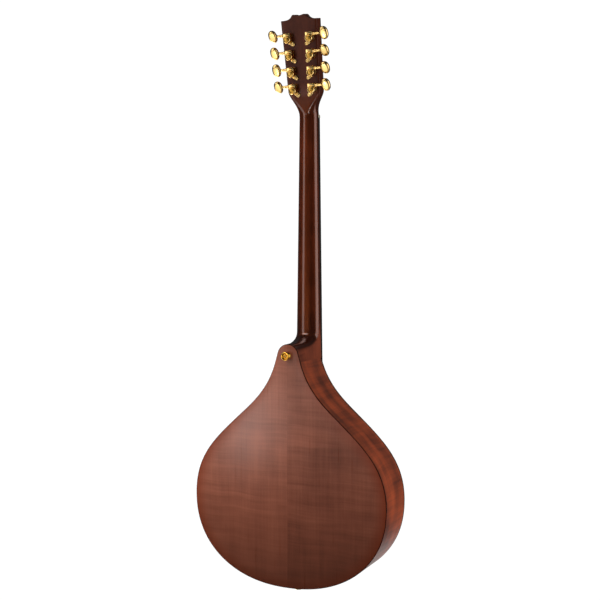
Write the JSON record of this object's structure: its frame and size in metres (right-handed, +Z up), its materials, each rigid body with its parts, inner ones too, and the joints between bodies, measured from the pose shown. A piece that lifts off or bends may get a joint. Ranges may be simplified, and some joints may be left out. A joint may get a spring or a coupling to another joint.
{
  "type": "irish bouzouki",
  "caption": "Teardrop-bodied Irish bouzouki with a flat two-piece maple back, long neck, tilted head, geared tuners, strap button, floating bridge and tailpiece.",
  "frame": {"origin": "under the middle of the instrument's bounding box, level with the lowest point of the end pin", "axes": "+Z up the neck towards the head, -Y the way the soundboard faces, +X the treble side"},
  "size_m": [0.352, 0.1164, 0.9813],
  "materials": {
    "maple": "red-brown stain under satin lacquer",
    "mahogany": "dark red-brown, gloss lacquer",
    "spruce": "satin lacquer",
    "inner_wood": "bare",
    "ebony": "oiled",
    "binding_wood": "black, satin",
    "binding": "black, polished",
    "bone": "polished",
    "gold": "polished gold plate",
    "steel": "plain",
    "plain_string": "drawn wire",
    "wound_string": "wound wire"
  },
  "bodies": {
    "instrument": {"soundboard": "spruce", "edge_binding": "binding", "back_treble_half": "maple", "back_bass_half": "maple", "rib_treble": "maple", "rib_bass": "maple", "neck_block": "inner_wood", "tail_block": "inner_wood", "back_lining_treble": "inner_wood", "back_lining_bass": "inner_wood", "soundboard_lining_treble": "inner_wood", "soundboard_lining_bass": "inner_wood", "soundboard_brace_upper": "inner_wood", "soundboard_brace_lower": "inner_wood", "back_brace_upper": "inner_wood", "back_brace_lower": "inner_wood", "neck": "mahogany", "head_veneer": "binding_wood", "fingerboard": "ebony", "nut": "bone", "truss_rod": "steel", "truss_rod_cover": "ebony", "bridge": "ebony", "saddle": "bone", "tailpiece": "gold", "strap_button": "gold", "strap_button_screw": "gold", "end_pin": "gold", "tuner_housing_bass_1": "gold", "tuner_housing_bass_2": "gold", "tuner_housing_bass_3": "gold", "tuner_housing_bass_4": "gold", "tuner_housing_treble_1": "gold", "tuner_housing_treble_2": "gold", "tuner_housing_treble_3": "gold", "tuner_housing_treble_4": "gold", "string_bass_1": "wound_string", "string_bass_2": "wound_string", "string_bass_3": "wound_string", "string_bass_4": "wound_string", "string_treble_1": "plain_string", "string_treble_2": "plain_string", "string_treble_3": "plain_string", "string_treble_4": "plain_string"},
    "button_bass_1": {"tuner_button_bass_1": "gold"},
    "post_bass_1": {"string_post_bass_1": "gold"},
    "button_bass_2": {"tuner_button_bass_2": "gold"},
    "post_bass_2": {"string_post_bass_2": "gold"},
    "button_bass_3": {"tuner_button_bass_3": "gold"},
    "post_bass_3": {"string_post_bass_3": "gold"},
    "button_bass_4": {"tuner_button_bass_4": "gold"},
    "post_bass_4": {"string_post_bass_4": "gold"},
    "button_treble_1": {"tuner_button_treble_1": "gold"},
    "post_treble_1": {"string_post_treble_1": "gold"},
    "button_treble_2": {"tuner_button_treble_2": "gold"},
    "post_treble_2": {"string_post_treble_2": "gold"},
    "button_treble_3": {"tuner_button_treble_3": "gold"},
    "post_treble_3": {"string_post_treble_3": "gold"},
    "button_treble_4": {"tuner_button_treble_4": "gold"},
    "post_treble_4": {"string_post_treble_4": "gold"}
  },
  "joints": [
    {"name": "turn_button_bass_1", "type": "hinge", "parent": "instrument", "child": "button_bass_1", "pos_m": [-0.0174, -0.01262, 0.86057], "axis": [1, 0, 0], "continuous": true},
    {"name": "turn_post_bass_1", "type": "hinge", "parent": "instrument", "child": "post_bass_1", "pos_m": [-0.0174, -0.01386, 0.85419], "axis": [0, -0.9816, 0.1908], "continuous": true},
    {"name": "turn_button_bass_2", "type": "hinge", "parent": "instrument", "child": "button_bass_2", "pos_m": [-0.01833, -0.00722, 0.88835], "axis": [1, 0, 0], "continuous": true},
    {"name": "turn_post_bass_2", "type": "hinge", "parent": "instrument", "child": "post_bass_2", "pos_m": [-0.01833, -0.00846, 0.88197], "axis": [0, -0.9816, 0.1908], "continuous": true},
    {"name": "turn_button_bass_3", "type": "hinge", "parent": "instrument", "child": "button_bass_3", "pos_m": [-0.01927, -0.00182, 0.91613], "axis": [1, 0, 0], "continuous": true},
    {"name": "turn_post_bass_3", "type": "hinge", "parent": "instrument", "child": "post_bass_3", "pos_m": [-0.01927, -0.00306, 0.90975], "axis": [0, -0.9816, 0.1908], "continuous": true},
    {"name": "turn_button_bass_4", "type": "hinge", "parent": "instrument", "child": "button_bass_4", "pos_m": [-0.0202, 0.00358, 0.94391], "axis": [1, 0, 0], "continuous": true},
    {"name": "turn_post_bass_4", "type": "hinge", "parent": "instrument", "child": "post_bass_4", "pos_m": [-0.0202, 0.00234, 0.93753], "axis": [0, -0.9816, 0.1908], "continuous": true},
    {"name": "turn_button_treble_1", "type": "hinge", "parent": "instrument", "child": "button_treble_1", "pos_m": [0.0174, -0.01262, 0.86057], "axis": [1, 0, 0], "continuous": true},
    {"name": "turn_post_treble_1", "type": "hinge", "parent": "instrument", "child": "post_treble_1", "pos_m": [0.0174, -0.01386, 0.85419], "axis": [0, -0.9816, 0.1908], "continuous": true},
    {"name": "turn_button_treble_2", "type": "hinge", "parent": "instrument", "child": "button_treble_2", "pos_m": [0.01833, -0.00722, 0.88835], "axis": [1, 0, 0], "continuous": true},
    {"name": "turn_post_treble_2", "type": "hinge", "parent": "instrument", "child": "post_treble_2", "pos_m": [0.01833, -0.00846, 0.88197], "axis": [0, -0.9816, 0.1908], "continuous": true},
    {"name": "turn_button_treble_3", "type": "hinge", "parent": "instrument", "child": "button_treble_3", "pos_m": [0.01927, -0.00182, 0.91613], "axis": [1, 0, 0], "continuous": true},
    {"name": "turn_post_treble_3", "type": "hinge", "parent": "instrument", "child": "post_treble_3", "pos_m": [0.01927, -0.00306, 0.90975], "axis": [0, -0.9816, 0.1908], "continuous": true},
    {"name": "turn_button_treble_4", "type": "hinge", "parent": "instrument", "child": "button_treble_4", "pos_m": [0.0202, 0.00358, 0.94391], "axis": [1, 0, 0], "continuous": true},
    {"name": "turn_post_treble_4", "type": "hinge", "parent": "instrument", "child": "post_treble_4", "pos_m": [0.0202, 0.00234, 0.93753], "axis": [0, -0.9816, 0.1908], "continuous": true}
  ],
  "couplings": [
    {"joint": "turn_post_bass_1", "follows": "turn_button_bass_1", "ratio": 0.071429},
    {"joint": "turn_post_bass_2", "follows": "turn_button_bass_2", "ratio": 0.071429},
    {"joint": "turn_post_bass_3", "follows": "turn_button_bass_3", "ratio": 0.071429},
    {"joint": "turn_post_bass_4", "follows": "turn_button_bass_4", "ratio": 0.071429},
    {"joint": "turn_post_treble_1", "follows": "turn_button_treble_1", "ratio": 0.071429},
    {"joint": "turn_post_treble_2", "follows": "turn_button_treble_2", "ratio": 0.071429},
    {"joint": "turn_post_treble_3", "follows": "turn_button_treble_3", "ratio": 0.071429},
    {"joint": "turn_post_treble_4", "follows": "turn_button_treble_4", "ratio": 0.071429}
  ]
}
